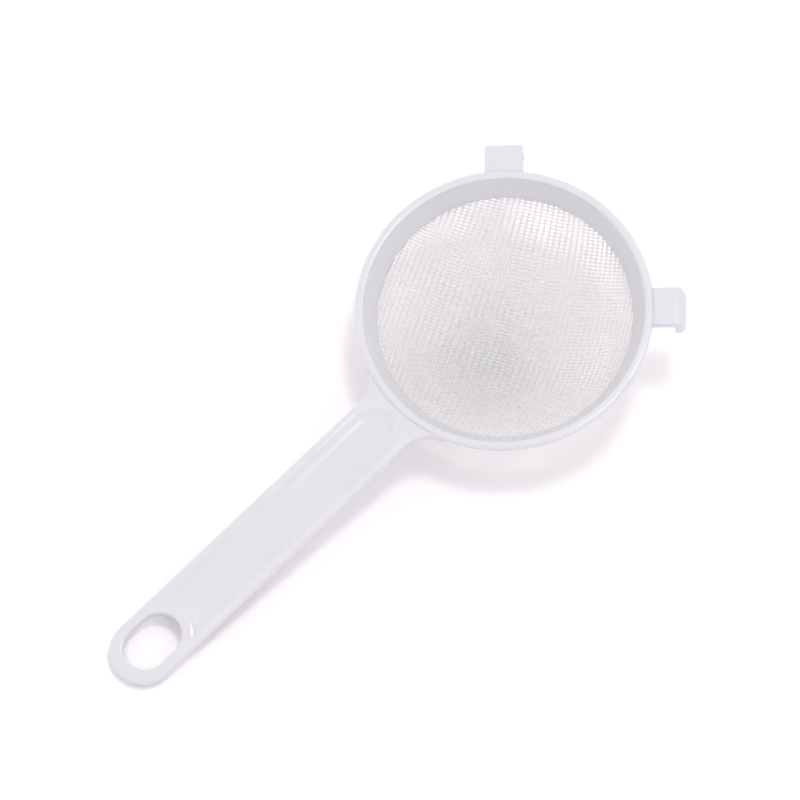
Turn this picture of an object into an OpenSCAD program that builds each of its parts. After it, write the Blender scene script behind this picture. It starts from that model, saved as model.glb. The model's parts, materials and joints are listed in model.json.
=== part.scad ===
// Small hand strainer. One moulding, the ring with its handle and two rim hooks, holds the
// edges of two nested bowls of woven net. Millimetres.
// Every piece is drawn level, with the top of the ring's lip at z = 0, the bowl hanging below it
// and the handle running towards -Y. lay_down() then tips the strainer on to the table, where it
// rests on the bottom of the bowl and the tip of the handle.

/* [Ring] */
// Outer diameter of the ring, over the lip
ring_d = 70; // [66:1:76]
// Width of the lip, seen from above
lip_w = 2.1; // [1.8:0.1:2.4]
// Thickness of the lip
lip_h = 2; // [1.6:0.1:2.4]
// Height of the ring wall, with the lip
ring_h = 6.6; // [6.2:0.1:7]
// Clear diameter at the lower edge of the ring, where the net begins
mouth_d = 60.4; // [59.6:0.2:60.8]

/* [Nets] */
// Depth of the bowl below the lip
bowl_depth = 24; // [20:0.5:30]
// Thickness of one layer of net, two threads where they cross
net_t = 0.4; // [0.3:0.05:0.45]
// Gap between the two layers
net_gap = 0.1; // [0.05:0.05:0.15]
// Width of the net's edge that the ring wall grips
net_margin = 2.4; // [1.6:0.1:2.6]

/* [Handle] */
// From the centre of the ring to the tip of the handle
handle_reach = 124; // [110:1:140]
// Width of the handle
handle_w = 15.5; // [15.2:0.1:17]
// Thickness of the handle
handle_t = 3.2; // [2.8:0.1:4]
// Radius of the curves where the handle runs into the ring
neck_r = 8; // [6:0.5:10]
// Width of the trough in the top of the handle
trough_w = 13; // [12.6:0.1:13.2]
// Depth of the trough
trough_depth = 0.7; // [0.5:0.1:1]
// Width of the hanging hole
hole_w = 10.5; // [9:0.5:10.5]
// Length of the hanging hole
hole_len = 14.6; // [12:0.2:14.6]

/* [Rim hooks] */
// Angle of each hook from the line of the handle
hook_angle = 45; // [35:1:55]
// Width of a hook
hook_w = 9.2; // [7:0.2:11]
// From the centre of the ring to the outer face of a hook
hook_reach = 42.6; // [41.5:0.1:46]
// Thickness of the hook's plate
hook_t = 2; // [1.8:0.1:2.4]
// Thickness of the hook's turned-down lip
hook_lip_t = 2.6; // [2.4:0.1:3]
// How far the turned-down lip reaches below the lip of the ring
hook_drop = 6.4; // [6:0.2:8]

/* [Hidden] */

$fn = 96;
eps = 0.01;           // overlap that keeps joined shapes one solid
fit = 0.02;           // play between the net's edge and its groove
past = 1;             // how far a cutting shape runs past what it cuts
plastic = [0.93, 0.92, 0.96];
net_white = [0.95, 0.94, 0.92];

// Ring
ring_r = ring_d / 2;
lip_round = 0.6;
mouth_r = mouth_d / 2;
mouth_z = -5.3;       // height of the ring's lower inner edge
net_skin = 0.5;       // plastic between the net's edge and the inside of the ring
wall_top_r = ring_r - 0.9;
wall_foot_r = ring_r - 2.5;
wall_join = 0.4;      // overlap of the lip and the wall under it
mouth_edge_h = 0.4;   // height of the mouth's lower edge
groove_cover = 0.2;   // plastic outside the net's edge at the foot of the ring

// Bowl. Both layers are spheres about one centre, cut off at one angle from straight down.
net_edge_r = mouth_r + net_skin + 2 * net_t + net_gap;
net_edge_z = -6;
bowl_rise = bowl_depth + net_edge_z;
bowl_r = (net_edge_r * net_edge_r + bowl_rise * bowl_rise) / (2 * bowl_rise);
bowl_z = bowl_r - bowl_depth;
bowl_angle = asin(net_edge_r / bowl_r);

// Handle
handle_r = handle_w / 2;
handle_top = -0.4;
handle_foot = handle_top - handle_t;
tip_y = -(handle_reach - handle_r);
neck_x = handle_r + neck_r;
neck_y = -sqrt(pow(ring_r + neck_r, 2) - neck_x * neck_x);
neck_share = ring_r / (ring_r + neck_r);
handle_root_r = ring_r - lip_w + 0.2;
root_share = handle_root_r / (ring_r + neck_r);
top_round = 0.8;
foot_round = 1;

// Trough, whose side falls from a rounded brow to a rounded foot
trough_slope_w = 3.4;
trough_brow_r = 2.4;
trough_turn = 2 * atan(trough_depth / trough_slope_w);
trough_foot_r = trough_slope_w / sin(trough_turn) - trough_brow_r;
trough_r = trough_w / 2;
arch_gap = 1.2;       // from the ring to the end of the trough
arch_y = -(ring_r + arch_gap + trough_r);

// Hanging hole, with a collar round the end that faces the ring
hole_r = hole_w / 2;
hole_round = 0.5;
hole_tip_y = tip_y + 1;
hole_ring_y = hole_tip_y + hole_len - hole_w;
collar_r = hole_r + 1.95;
trough_start_y = hole_ring_y + 2.6;

// Rim hooks
hook_top = -0.6;
hook_outer_round = 2.4;
hook_inner_round = 1;
hook_foot_round = 0.9;
hook_corner_round = 1.8;
hook_root = 1.6;      // how far a hook runs into the ring
hook_root_r = ring_r - hook_root;

// How the strainer lies: tipped by lie_angle, its lowest points touch z = 0 together
tip_arm = handle_reach - foot_round;
tip_below_bowl_centre = bowl_z - handle_foot - foot_round;
lie_angle = asin((bowl_r - foot_round) / norm([tip_arm, tip_below_bowl_centre]))
    - atan2(tip_below_bowl_centre, tip_arm);
lie_height = bowl_r - bowl_z * cos(lie_angle);
front_y = -(handle_reach - top_round) * cos(lie_angle)
    + (top_round - handle_top) * sin(lie_angle) - top_round;
back_y = (ring_r - lip_round) * cos(lie_angle)
    + (lip_h - lip_round) * sin(lie_angle) + lip_round;

module lay_down() {
    translate([0, -(front_y + back_y) / 2, lie_height])
        rotate([lie_angle, 0, 0])
            children();
}

// ---- Outlines ----

// A point of the bowl's section: r from the bowl's centre at the cut-off angle, then along the
// straight edge that the ring grips
function edge_point(r, along) = [
    r * sin(bowl_angle) + along * cos(bowl_angle),
    bowl_z - r * cos(bowl_angle) + along * sin(bowl_angle)
];

// A straight strip along the net's edge, between two radii of the bowl
module edge_strip(r_in, r_out, from, to) {
    polygon([
        edge_point(r_in, from),
        edge_point(r_out, from),
        edge_point(r_out, to),
        edge_point(r_in, to)
    ]);
}

// A rectangle from one corner to the other, with four rounded corners
module rounded_box(low, high, r) {
    size = high - low;
    translate(low + [r, 0])
        square([size.x - 2 * r, size.y]);
    translate(low + [0, r])
        square([size.x, size.y - 2 * r]);
    for (x = [low.x + r, high.x - r], y = [low.y + r, high.y - r])
        translate([x, y])
            circle(r);
}

// What an edge of radius r loses: solid lies to the left of x = 0 and below y = 0
module edge_waste(r) {
    difference() {
        translate([-r, -r])
            square([r + past, r + past]);
        translate([-r, -r])
            circle(r);
    }
}

// Both edges of the handle, top and bottom, for an outline that ends at x = 0
module handle_edge_waste(top_r, foot_r) {
    translate([0, handle_top])
        edge_waste(top_r);
    translate([0, handle_foot])
        mirror([0, 1])
            edge_waste(foot_r);
}

// The part of a circle of radius r that lies in the box from low to high
module round_in_box(centre, r, low, high) {
    intersection() {
        translate(centre)
            circle(r);
        translate(low)
            square(high - low);
    }
}

// Section of the space over a slope: from a brow at x = brow_x down to a floor on the left of it
module slope_space(brow_x) {
    foot = [brow_x - trough_slope_w, -trough_depth];
    join = foot + trough_foot_r * [sin(trough_turn), 1 - cos(trough_turn)];
    difference() {
        union() {
            polygon([
                [0, foot.y],
                foot,
                join,
                [brow_x, 0],
                [brow_x, past],
                [0, past]
            ]);
            round_in_box(foot + [0, trough_foot_r], trough_foot_r, foot, join);
        }
        round_in_box([brow_x, -trough_brow_r], trough_brow_r, join, [brow_x, 0]);
    }
}

// Section of the raised collar: solid from the centre line out to a brow and down its slope
module collar_section() {
    foot = [collar_r + trough_slope_w, -trough_depth];
    join = [collar_r, 0] + trough_brow_r * [sin(trough_turn), cos(trough_turn) - 1];
    difference() {
        union() {
            polygon([
                [0, past],
                [0, foot.y - past],
                [foot.x, foot.y - past],
                foot,
                join,
                [collar_r, 0],
                [collar_r, past]
            ]);
            round_in_box([collar_r, -trough_brow_r], trough_brow_r, [collar_r, join.y], [join.x, 0]);
        }
        round_in_box(foot + [0, trough_foot_r], trough_foot_r, [join.x, foot.y], [foot.x, join.y]);
    }
}

module handle_outline() {
    translate([-handle_r, tip_y])
        square([handle_w, -ring_r + past - tip_y]);
    translate([0, tip_y])
        circle(handle_r);
    difference() {
        polygon([
            [-neck_x, neck_y],
            [neck_x, neck_y],
            [neck_x * neck_share, neck_y * neck_share],
            [neck_x * root_share, neck_y * root_share],
            [-neck_x * root_share, neck_y * root_share],
            [-neck_x * neck_share, neck_y * neck_share]
        ]);
        for (side = [-1, 1])
            translate([side * neck_x, neck_y])
                circle(neck_r);
    }
}

// ---- Parts of the moulding ----

module ring() {
    rotate_extrude()
        difference() {
            union() {
                rounded_box([ring_r - lip_w, -lip_h], [ring_r, 0], lip_round);
                polygon([
                    [ring_r - lip_w, -lip_round],
                    [mouth_r, mouth_z],
                    [mouth_r + net_skin, mouth_z - mouth_edge_h],
                    [net_edge_r + groove_cover, -ring_h],
                    [wall_foot_r, -ring_h],
                    [wall_top_r, -lip_h + wall_join],
                    [wall_top_r, -lip_round]
                ]);
            }
            edge_strip(bowl_r - 2 * net_t - net_gap - fit, bowl_r + fit, -2, net_margin + fit);
        }
}

// Sweeps a side's section along both straight sides of the handle
module along_sides(from_y, to_y) {
    for (side = [0, 1])
        mirror([side, 0, 0])
            translate([0, to_y, 0])
                rotate([90, 0, 0])
                    linear_extrude(to_y - from_y)
                        children();
}

module handle_edges() {
    along_sides(tip_y, neck_y)
        translate([handle_r, 0])
            handle_edge_waste(top_round, foot_round);
    intersection() {
        translate([0, tip_y, 0])
            rotate_extrude()
                translate([handle_r, 0])
                    handle_edge_waste(top_round, foot_round);
        translate([-handle_w, tip_y - handle_w, handle_foot - 2 * past])
            cube([2 * handle_w, handle_w, handle_t + 4 * past]);
    }
    for (side = [-1, 1])
        translate([side * neck_x, neck_y, 0])
            rotate_extrude()
                intersection() {
                    translate([neck_r, 0])
                        mirror([1, 0])
                            handle_edge_waste(top_round, foot_round);
                    translate([0, handle_foot - past])
                        square([neck_r + top_round + foot_round, handle_t + 2 * past]);
                }
}

module trough() {
    difference() {
        translate([0, 0, handle_top])
            union() {
                along_sides(trough_start_y, arch_y)
                    slope_space(trough_r);
                intersection() {
                    translate([0, arch_y, 0])
                        rotate_extrude()
                            slope_space(trough_r);
                    translate([-trough_w, arch_y, -trough_w])
                        cube(2 * trough_w);
                }
            }
        translate([0, hole_ring_y, handle_top])
            rotate_extrude()
                collar_section();
    }
}

module hanging_hole() {
    for (y = [hole_tip_y, hole_ring_y])
        translate([0, y, handle_foot - past])
            cylinder(r = hole_r, h = handle_t + 2 * past);
    translate([-hole_r, hole_tip_y, handle_foot - past])
        cube([hole_w, hole_ring_y - hole_tip_y, handle_t + 2 * past]);
}

// The rounded edges of the hanging hole
module hole_edges() {
    for (y = [hole_tip_y, hole_ring_y])
        translate([0, y, 0])
            rotate_extrude()
                translate([hole_r, 0])
                    mirror([1, 0])
                        handle_edge_waste(hole_round, hole_round);
    along_sides(hole_tip_y, hole_ring_y)
        translate([hole_r, 0])
            mirror([1, 0])
                handle_edge_waste(hole_round, hole_round);
}

module handle() {
    difference() {
        translate([0, 0, handle_foot])
            linear_extrude(handle_t)
                handle_outline();
        translate([0, 0, handle_foot - past])
            cylinder(r = handle_root_r, h = handle_t + 2 * past);
        handle_edges();
        trough();
        hanging_hole();
        hole_edges();
    }
}

// Section of a hook, from the ring out to its turned-down lip
module hook_section() {
    under = hook_top - hook_t;
    corner = [hook_reach - hook_outer_round, hook_top - hook_outer_round];
    inner = hook_reach - hook_lip_t;
    translate([hook_root_r, under])
        square([corner.x - hook_root_r, hook_t]);
    intersection() {
        translate(corner)
            circle(hook_outer_round);
        translate(corner)
            square(hook_outer_round);
    }
    translate([inner, corner.y - eps])
        square([corner.x - inner + eps, under - corner.y + 2 * eps]);
    translate([inner, -hook_drop])
        intersection() {
            rounded_box([0, 0], [hook_lip_t, 2 * hook_drop], hook_foot_round);
            square([hook_lip_t, corner.y + hook_drop + eps]);
        }
    translate([inner - hook_inner_round, under - hook_inner_round])
        difference() {
            square(hook_inner_round + eps);
            circle(hook_inner_round);
        }
}

// A hook, with its two outer corners rounded as seen from above
module hook() {
    low = [hook_root_r - hook_corner_round, -hook_w / 2];
    high = [hook_reach, hook_w / 2];
    intersection() {
        rotate([90, 0, 0])
            linear_extrude(hook_w, center = true)
                hook_section();
        translate([0, 0, -hook_drop - eps])
            linear_extrude(hook_drop + 2 * eps)
                rounded_box(low, high, hook_corner_round);
    }
}

// ---- Nodes ----

module strainer_frame() {
    color(plastic)
        lay_down() {
            ring();
            handle();
            for (side = [-1, 1])
                rotate([0, 0, 90 + side * hook_angle])
                    hook();
        }
}

// One layer of net between two radii of the bowl, with its edge running up inside the ring wall
module net_layer(r_in, r_out) {
    reach = 2 * r_out;
    rotate_extrude() {
        translate([0, bowl_z])
            intersection() {
                difference() {
                    circle(r_out, $fn = 180);
                    circle(r_in, $fn = 180);
                }
                polygon([
                    [0, 0],
                    [0, -reach],
                    [reach * sin(bowl_angle), -reach],
                    [reach * sin(bowl_angle), -reach * cos(bowl_angle)]
                ]);
            }
        edge_strip(r_in, r_out, -eps, net_margin);
    }
}

module inner_net() {
    color(net_white)
        lay_down()
            net_layer(bowl_r - 2 * net_t - net_gap, bowl_r - net_t - net_gap);
}

module outer_net() {
    color(net_white)
        lay_down()
            net_layer(bowl_r - net_t, bowl_r);
}

strainer_frame();
inner_net();
outer_net();
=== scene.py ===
"""Looks of the small double net strainer: woven nets, white moulding, table, light and camera."""

import json
import math
from collections import namedtuple

import bpy
import numpy as np
from mathutils import Matrix, Vector


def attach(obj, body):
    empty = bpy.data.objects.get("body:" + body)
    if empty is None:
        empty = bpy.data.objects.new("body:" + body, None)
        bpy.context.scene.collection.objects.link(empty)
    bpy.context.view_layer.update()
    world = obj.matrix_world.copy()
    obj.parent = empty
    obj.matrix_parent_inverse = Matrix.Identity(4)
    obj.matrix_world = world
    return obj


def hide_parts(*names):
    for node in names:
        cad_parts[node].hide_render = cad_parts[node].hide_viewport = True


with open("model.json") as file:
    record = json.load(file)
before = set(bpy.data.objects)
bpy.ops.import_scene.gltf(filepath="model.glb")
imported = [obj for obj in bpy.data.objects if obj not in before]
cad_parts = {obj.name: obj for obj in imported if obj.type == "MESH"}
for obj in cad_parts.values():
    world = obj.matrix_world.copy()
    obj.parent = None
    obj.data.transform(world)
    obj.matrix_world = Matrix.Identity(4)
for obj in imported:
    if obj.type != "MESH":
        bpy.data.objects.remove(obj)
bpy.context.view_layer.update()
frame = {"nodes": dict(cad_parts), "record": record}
mounts = {mount["name"]: mount for mount in frame["record"]["mounts"]}

MM = 0.001

# ---- The strainer's own frame ----

# Sizes of the nets' bowl, as in the solid model
NET_EDGE_R = 31.6 * MM
NET_EDGE_DEPTH = 6.0 * MM
BOWL_DEPTH = 24.0 * MM
BOWL_RISE = BOWL_DEPTH - NET_EDGE_DEPTH
BOWL_R = (NET_EDGE_R**2 + BOWL_RISE**2) / (2 * BOWL_RISE)

# The seat of the right hook, from the ring's centre, level with the top of its lip
SEAT_OUT = 37.0 * MM
SEAT_DEPTH = 2.6 * MM
HOOK_ANGLE = math.radians(45)


def own_frame():
    """The strainer's own frame in the row frame: lip level at z = 0, handle towards -Y."""
    seat = mounts["right_hook_seat"]
    upright = -Vector(seat["axis"])
    tilt = math.atan2(-upright.y, upright.z)
    turn = Matrix.Rotation(tilt, 4, "X")
    out = SEAT_OUT * Vector((math.sin(HOOK_ANGLE), math.cos(HOOK_ANGLE), 0))
    seat_own = out - Vector((0, 0, SEAT_DEPTH))
    return Matrix.Translation(Vector(seat["pos_m"]) - turn @ seat_own) @ turn


OWN = own_frame()
BOWL_CENTRE = OWN @ Vector((0, 0, BOWL_R - BOWL_DEPTH))

# ---- Camera ----

CAMERA_AZIMUTH = math.radians(40.5)
CAMERA_HEIGHT = math.radians(63.1)
CAMERA_ROLL = math.radians(5.9)
CAMERA_DISTANCE = 0.8415
CAMERA_SHIFT = (0.0242, 0.0216)
SENSOR = 36.0
LENS = 162.0


def add_camera():
    """A long lens from the right of the handle, high above the table and rolled a little."""
    turn = (
        Matrix.Rotation(CAMERA_AZIMUTH, 3, "Z")
        @ Matrix.Rotation(math.pi / 2 - CAMERA_HEIGHT, 3, "X")
        @ Matrix.Rotation(CAMERA_ROLL, 3, "Z")
    )
    offset = turn @ Vector((*CAMERA_SHIFT, -CAMERA_DISTANCE))
    data = bpy.data.cameras.new("camera")
    data.lens = LENS
    data.sensor_width = SENSOR
    camera = bpy.data.objects.new("camera", data)
    camera.matrix_world = Matrix.Translation(OWN.translation - offset) @ turn.to_4x4()
    bpy.context.scene.collection.objects.link(camera)
    bpy.context.scene.camera = camera


add_camera()

# ---- Materials ----

# Where most of a noise's values lie
NOISE_LOW = 0.3
NOISE_HIGH = 0.7


class Shader:
    """Builds one node material, a node and a link at a time."""

    def __init__(self, name):
        self.material = bpy.data.materials.new(name)
        self.material.use_nodes = True
        self.tree = self.material.node_tree
        self.surface = self.tree.nodes["Principled BSDF"]

    def node(self, kind, **inputs):
        made = self.tree.nodes.new(kind)
        for name, value in inputs.items():
            made.inputs[name.replace("_", " ")].default_value = value
        return made

    def link(self, output, target):
        self.tree.links.new(output, target)

    def set(self, **values):
        for name, value in values.items():
            self.surface.inputs[name.replace("_", " ")].default_value = value

    def noise(self, scale):
        where = self.node("ShaderNodeTexCoord")
        noise = self.node("ShaderNodeTexNoise", Scale=scale, Detail=2.0)
        self.link(where.outputs["Object"], noise.inputs["Vector"])
        return noise.outputs["Fac"]

    def roughness(self, scale, low, high):
        """A gloss that wanders between two roughnesses."""
        span = self.node("ShaderNodeMapRange", To_Min=low, To_Max=high)
        span.inputs["From Min"].default_value = NOISE_LOW
        span.inputs["From Max"].default_value = NOISE_HIGH
        self.link(self.noise(scale), span.inputs["Value"])
        self.link(span.outputs["Result"], self.surface.inputs["Roughness"])

    def colour(self, scale, low, high):
        """A faintly cloudy colour between low and high."""
        ramp = self.node("ShaderNodeValToRGB")
        stops = zip(ramp.color_ramp.elements, (NOISE_LOW, NOISE_HIGH), (low, high))
        for stop, place, colour in stops:
            stop.position = place
            stop.color = (*colour, 1.0)
        self.link(self.noise(scale), ramp.inputs["Fac"])
        self.link(ramp.outputs["Color"], self.surface.inputs["Base Color"])

    def bump(self, scale, strength, distance, edge_r=0.0):
        """Fine relief, over edges that are softened by edge_r."""
        made = self.node("ShaderNodeBump", Strength=strength, Distance=distance)
        self.link(self.noise(scale), made.inputs["Height"])
        if edge_r:
            soft = self.node("ShaderNodeBevel", Radius=edge_r)
            soft.samples = 6
            self.link(soft.outputs["Normal"], made.inputs["Normal"])
        self.link(made.outputs["Normal"], self.surface.inputs["Normal"])


def white_plastic():
    """Slightly see-through white polypropylene with a lilac cast and a soft gloss."""
    shader = Shader("white_plastic")
    shader.set(
        IOR=1.49,
        Subsurface_Weight=0.35,
        Subsurface_Radius=(1.0, 0.95, 1.0),
        Subsurface_Scale=1.2 * MM,
    )
    shader.colour(60.0, (0.632, 0.636, 0.664), (0.647, 0.651, 0.679))
    shader.roughness(250.0, 0.17, 0.22)
    shader.bump(300.0, 0.1, 0.02 * MM, edge_r=0.5 * MM)
    return shader.material


def nylon_thread():
    """White nylon thread, a little warmer than the moulding."""
    shader = Shader("nylon_thread")
    shader.set(
        IOR=1.53,
        Subsurface_Weight=1.0,
        Subsurface_Radius=(1.0, 1.0, 1.0),
        Subsurface_Scale=0.8 * MM,
    )
    shader.colour(150.0, (0.765, 0.763, 0.75), (0.805, 0.803, 0.79))
    shader.roughness(900.0, 0.18, 0.28)
    shader.bump(6000.0, 0.2, 0.01 * MM)
    return shader.material


def table_paper():
    """The plain white table under the strainer."""
    shader = Shader("table_paper")
    shader.colour(8.0, (0.935, 0.93, 0.935), (0.945, 0.94, 0.945))
    shader.roughness(200.0, 0.85, 0.95)
    return shader.material


# ---- Nets ----

# A family of parallel threads: their direction in the strainer's frame, the distance from one
# to the next, their radius, and which way the first one starts, over (1) or under (-1)
Family = namedtuple("Family", "name angle pitch thread_r start")

WARP = Family("warp", math.radians(30), 0.93 * MM, 0.105 * MM, 1)
WEFT = Family("weft", math.radians(115), 1.63 * MM, 0.13 * MM, -1)
SKEW = math.sin(WEFT.angle - WARP.angle)
WAVE = (WARP.thread_r + WEFT.thread_r) / 2     # how far a thread swings over and under
NET_HALF_T = WAVE + WEFT.thread_r
LAYER_TURN = math.radians(3)                   # how far the outer net is turned against the inner
EDGE_REACH = 1.2 * MM                          # how far the threads run on into the ring's wall
SIDES = 6                                      # of a thread's section
STEPS_PER_CROSSING = 4


def heading(angle):
    return np.array([math.cos(angle), math.sin(angle)])


def unit(vectors):
    return vectors / np.linalg.norm(vectors, axis=1)[:, None]


def on_bowl(flat, lift, radius):
    """Points of the bowl for points of the flat net: the net's middle is the bowl's lowest point."""
    reach = np.hypot(flat[:, 0], flat[:, 1])
    angle = reach / radius
    share = np.where(reach > 0, np.sin(angle) / np.maximum(reach, 1e-9), 1 / radius)
    down = np.stack([flat[:, 0] * share, flat[:, 1] * share, -np.cos(angle)], axis=1)
    return down * (radius + lift)[:, None]


def tube(line, thread_r):
    """Vertices and faces of a round thread along a line on the bowl, closed at both ends."""
    run = np.gradient(line, axis=0)
    side = unit(np.cross(run, line))
    out = unit(np.cross(side, run))
    turns = np.arange(SIDES) * 2 * math.pi / SIDES
    across = side[:, None, :] * np.cos(turns)[None, :, None]
    outward = out[:, None, :] * np.sin(turns)[None, :, None]
    points = (line[:, None, :] + thread_r * (across + outward)).reshape(-1, 3)
    last = (len(line) - 1) * SIDES
    faces = []
    for ring in range(0, last, SIDES):
        for corner in range(SIDES):
            a = ring + corner
            b = ring + (corner + 1) % SIDES
            faces.append((a, b, b + SIDES, a + SIDES))
    faces.append(tuple(range(SIDES))[::-1])
    faces.append(tuple(range(last, last + SIDES)))
    return points, faces


def thread_lines(family, other, radius, turn):
    """Middle lines of a family's threads, which weave over and under those of the other family."""
    along = heading(family.angle + turn)
    across = heading(other.angle + turn)
    step = other.pitch / SKEW
    edge = radius * math.asin(NET_EDGE_R / BOWL_R) + EDGE_REACH
    count = int(edge / family.pitch) + 1
    for i in range(-count, count + 1):
        start = i * family.pitch / SKEW * across
        middle = -start @ along
        half_squared = edge**2 - (start @ start - middle**2)
        if half_squared <= (2 * step)**2:
            continue
        half = math.sqrt(half_squared)
        way = middle + np.linspace(-half, half, int(2 * half / step * STEPS_PER_CROSSING))
        flat = start + way[:, None] * along
        lift = family.start * WAVE * np.cos(math.pi * (way / step + i))
        yield on_bowl(flat, lift, radius)


def thread_mesh(name, lines, thread_r, material):
    vertices = []
    faces = []
    for line in lines:
        first = len(vertices)
        points, quads = tube(line, thread_r)
        vertices.extend(points.tolist())
        faces.extend(tuple(first + corner for corner in face) for face in quads)
    mesh = bpy.data.meshes.new(name)
    mesh.from_pydata(vertices, [], faces)
    mesh.transform(Matrix.Translation(BOWL_CENTRE) @ OWN.to_3x3().to_4x4())
    mesh.polygons.foreach_set("use_smooth", [True] * len(mesh.polygons))
    mesh.materials.append(material)
    return mesh


def net(node, radius, turn, material):
    """Both families of threads of one net, each family a piece of its own."""
    for family, other in ((WARP, WEFT), (WEFT, WARP)):
        name = f"{node}_{family.name}"
        lines = thread_lines(family, other, radius, turn)
        mesh = thread_mesh(name, lines, family.thread_r, material)
        piece = bpy.data.objects.new(name, mesh)
        bpy.context.scene.collection.objects.link(piece)
        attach(piece, "root")
        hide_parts(node)


thread = nylon_thread()
net("outer_net", BOWL_R - NET_HALF_T, LAYER_TURN, thread)
net("inner_net", BOWL_R - 3 * NET_HALF_T, 0.0, thread)

# ---- Moulding ----

plastic = white_plastic()
for slot in frame["nodes"]["strainer_frame"].material_slots:
    slot.material = plastic

# ---- Table and light ----

TABLE_HALF = 1.5


def add_table():
    corners = [(x * TABLE_HALF, y * TABLE_HALF, 0) for x, y in ((-1, -1), (1, -1), (1, 1), (-1, 1))]
    mesh = bpy.data.meshes.new("table")
    mesh.from_pydata(corners, [], [(0, 1, 2, 3)])
    mesh.materials.append(table_paper())
    table = bpy.data.objects.new("table", mesh)
    bpy.context.scene.collection.objects.link(table)


def add_light(name, size, power, place, target):
    """A round lamp at place that faces target."""
    data = bpy.data.lights.new(name, "AREA")
    data.shape = "DISK"
    data.size = size
    data.energy = power
    light = bpy.data.objects.new(name, data)
    light.location = place
    light.rotation_euler = (Vector(target) - Vector(place)).to_track_quat("-Z", "Y").to_euler()
    bpy.context.scene.collection.objects.link(light)


def add_world(colour, strength):
    """Even light from the whole room."""
    world = bpy.data.worlds.new("room")
    world.use_nodes = True
    background = world.node_tree.nodes["Background"]
    background.inputs["Color"].default_value = (*colour, 1.0)
    background.inputs["Strength"].default_value = strength
    bpy.context.scene.world = world


add_table()
add_light("ceiling_light", 0.20, 2.1, (-0.005, 0.15, 1.0), (0.0, 0.02, 0.0))
add_light("left_light", 0.16, 0.3, (-0.67, -0.42, 0.63), (0.0, 0.04, 0.02))
add_light("right_light", 0.16, 0.4, (0.61, -0.10, 0.79), (0.0, 0.04, 0.02))
add_world((1.0, 0.955, 0.99), 1.02)
bpy.context.scene.view_settings.view_transform = "Standard"
